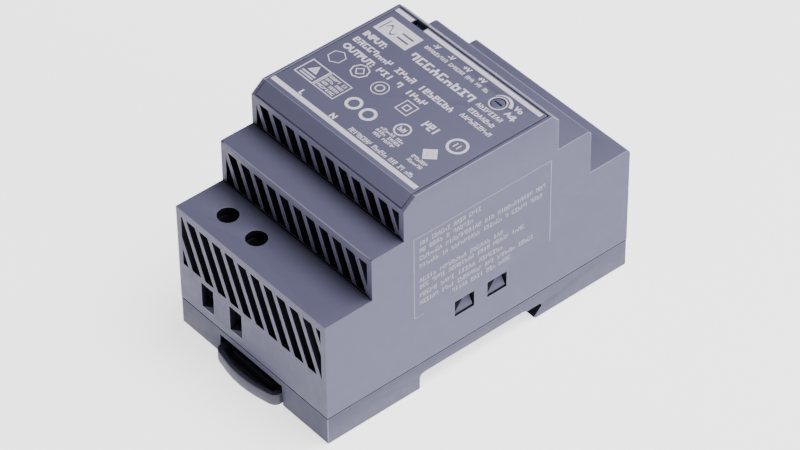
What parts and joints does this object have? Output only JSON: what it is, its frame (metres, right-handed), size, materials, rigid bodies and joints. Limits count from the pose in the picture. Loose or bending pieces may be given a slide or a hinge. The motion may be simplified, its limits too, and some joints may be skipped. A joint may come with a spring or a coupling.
{
  "type": "din rail power supply",
  "caption": "Stepped plastic power supply that snaps onto a 35 mm top-hat rail, with screw terminals at both ends, slotted vents and a sprung rail latch.",
  "frame": {"origin": "middle of the rail seat: halfway across the case's width and length, on the plane of the rail's face", "axes": "+Z away from the rail towards the front cover, +X along the rail, +Y across the rail from the input terminals to the output terminals"},
  "size_m": [0.0524, 0.0936, 0.0588],
  "materials": {
    "case_plastic": "fine satin moulded plastic",
    "latch_plastic": "satin moulded plastic",
    "terminal_plastic": "moulded polyamide",
    "black_plastic": "moulded epoxy",
    "board_laminate": "solder mask",
    "plated_steel": "bright zinc plate",
    "spring_steel": "drawn wire",
    "aluminium": "mill finish",
    "copper_wire": "enamelled wire",
    "ferrite": "ground ferrite",
    "winding_tape": "polyester tape",
    "capacitor_film": "moulded box",
    "dark_sleeve": "shrink sleeve",
    "blue_epoxy": "dipped epoxy",
    "fibre": "pressed sheet",
    "led_resin": "cast resin",
    "light_pipe_resin": "smoked clear"
  },
  "bodies": {
    "case": {"upper_housing": "case_plastic", "front_cover": "case_plastic", "base": "case_plastic", "latch_spring": "spring_steel", "input_terminal_block": "terminal_plastic", "output_terminal_block": "terminal_plastic", "main_board": "board_laminate", "upper_board": "board_laminate", "insulating_sheet": "fibre", "fuse": "black_plastic", "inrush_thermistor": "dark_sleeve", "surge_varistor": "blue_epoxy", "line_capacitor": "capacitor_film", "choke_core": "ferrite", "choke_coil_line": "copper_wire", "choke_coil_neutral": "copper_wire", "bridge_rectifier": "black_plastic", "bulk_capacitor": "dark_sleeve", "transformer_core_lower": "ferrite", "transformer_core_upper": "ferrite", "transformer_bobbin": "black_plastic", "transformer_winding": "winding_tape", "primary_heat_sink": "aluminium", "power_transistor": "black_plastic", "secondary_heat_sink": "aluminium", "output_rectifier": "black_plastic", "output_capacitor_1": "dark_sleeve", "output_capacitor_2": "dark_sleeve", "output_choke": "ferrite", "safety_capacitor": "blue_epoxy", "optocoupler": "black_plastic", "board_link_left": "black_plastic", "board_link_right": "black_plastic", "status_led": "led_resin", "light_pipe": "light_pipe_resin", "trimmer_body": "blue_epoxy", "input_contact_L": "plated_steel", "input_contact_N": "plated_steel", "output_contact_V1": "plated_steel", "output_contact_V2": "plated_steel", "output_contact_V3": "plated_steel", "output_contact_V4": "plated_steel"},
    "latch": {"rail_latch": "latch_plastic"},
    "adjuster": {"adjuster_spindle": "case_plastic"},
    "input_screw_L": {"input_screw_L": "plated_steel"},
    "input_clamp_L": {"input_clamp_L": "plated_steel"},
    "input_screw_N": {"input_screw_N": "plated_steel"},
    "input_clamp_N": {"input_clamp_N": "plated_steel"},
    "output_screw_V1": {"output_screw_V1": "plated_steel"},
    "output_clamp_V1": {"output_clamp_V1": "plated_steel"},
    "output_screw_V2": {"output_screw_V2": "plated_steel"},
    "output_clamp_V2": {"output_clamp_V2": "plated_steel"},
    "output_screw_V3": {"output_screw_V3": "plated_steel"},
    "output_clamp_V3": {"output_clamp_V3": "plated_steel"},
    "output_screw_V4": {"output_screw_V4": "plated_steel"},
    "output_clamp_V4": {"output_clamp_V4": "plated_steel"}
  },
  "joints": [
    {"name": "latch_slide", "type": "slide", "parent": "case", "child": "latch", "axis": [0, -1, 0], "range_m": [0, 0.004], "stiffness_N_per_m": 500, "springref_m": -0.002, "deforming": ["latch_spring"]},
    {"name": "adjuster_turn", "type": "hinge", "parent": "case", "child": "adjuster", "pos_m": [0.01485, 0.0148, 0.0545], "axis": [0, 0, 1], "range_deg": [-135, 135]},
    {"name": "input_screw_L_turn", "type": "hinge", "parent": "case", "child": "input_screw_L", "pos_m": [-0.01615, -0.03805, 0.022], "axis": [0, 0, -1], "range_deg": [0, 2160]},
    {"name": "input_clamp_L_lift", "type": "slide", "parent": "case", "child": "input_clamp_L", "axis": [0, 0, 1], "range_m": [0, 0.003]},
    {"name": "input_screw_N_turn", "type": "hinge", "parent": "case", "child": "input_screw_N", "pos_m": [-0.00599, -0.03805, 0.022], "axis": [0, 0, -1], "range_deg": [0, 2160]},
    {"name": "input_clamp_N_lift", "type": "slide", "parent": "case", "child": "input_clamp_N", "axis": [0, 0, 1], "range_m": [0, 0.003]},
    {"name": "output_screw_V1_turn", "type": "hinge", "parent": "case", "child": "output_screw_V1", "pos_m": [-0.00885, 0.03805, 0.022], "axis": [0, 0, -1], "range_deg": [0, 2400]},
    {"name": "output_clamp_V1_lift", "type": "slide", "parent": "case", "child": "output_clamp_V1", "axis": [0, 0, 1], "range_m": [0, 0.003]},
    {"name": "output_screw_V2_turn", "type": "hinge", "parent": "case", "child": "output_screw_V2", "pos_m": [-0.00377, 0.03805, 0.022], "axis": [0, 0, -1], "range_deg": [0, 2400]},
    {"name": "output_clamp_V2_lift", "type": "slide", "parent": "case", "child": "output_clamp_V2", "axis": [0, 0, 1], "range_m": [0, 0.003]},
    {"name": "output_screw_V3_turn", "type": "hinge", "parent": "case", "child": "output_screw_V3", "pos_m": [0.00131, 0.03805, 0.022], "axis": [0, 0, -1], "range_deg": [0, 2400]},
    {"name": "output_clamp_V3_lift", "type": "slide", "parent": "case", "child": "output_clamp_V3", "axis": [0, 0, 1], "range_m": [0, 0.003]},
    {"name": "output_screw_V4_turn", "type": "hinge", "parent": "case", "child": "output_screw_V4", "pos_m": [0.00639, 0.03805, 0.022], "axis": [0, 0, -1], "range_deg": [0, 2400]},
    {"name": "output_clamp_V4_lift", "type": "slide", "parent": "case", "child": "output_clamp_V4", "axis": [0, 0, 1], "range_m": [0, 0.003]}
  ],
  "couplings": [
    {"joint": "input_screw_L_turn", "follows": "input_clamp_L_lift", "rad_per_m": 12566},
    {"joint": "input_screw_N_turn", "follows": "input_clamp_N_lift", "rad_per_m": 12566},
    {"joint": "output_screw_V1_turn", "follows": "output_clamp_V1_lift", "rad_per_m": 13962},
    {"joint": "output_screw_V2_turn", "follows": "output_clamp_V2_lift", "rad_per_m": 13962},
    {"joint": "output_screw_V3_turn", "follows": "output_clamp_V3_lift", "rad_per_m": 13962},
    {"joint": "output_screw_V4_turn", "follows": "output_clamp_V4_lift", "rad_per_m": 13962}
  ]
}
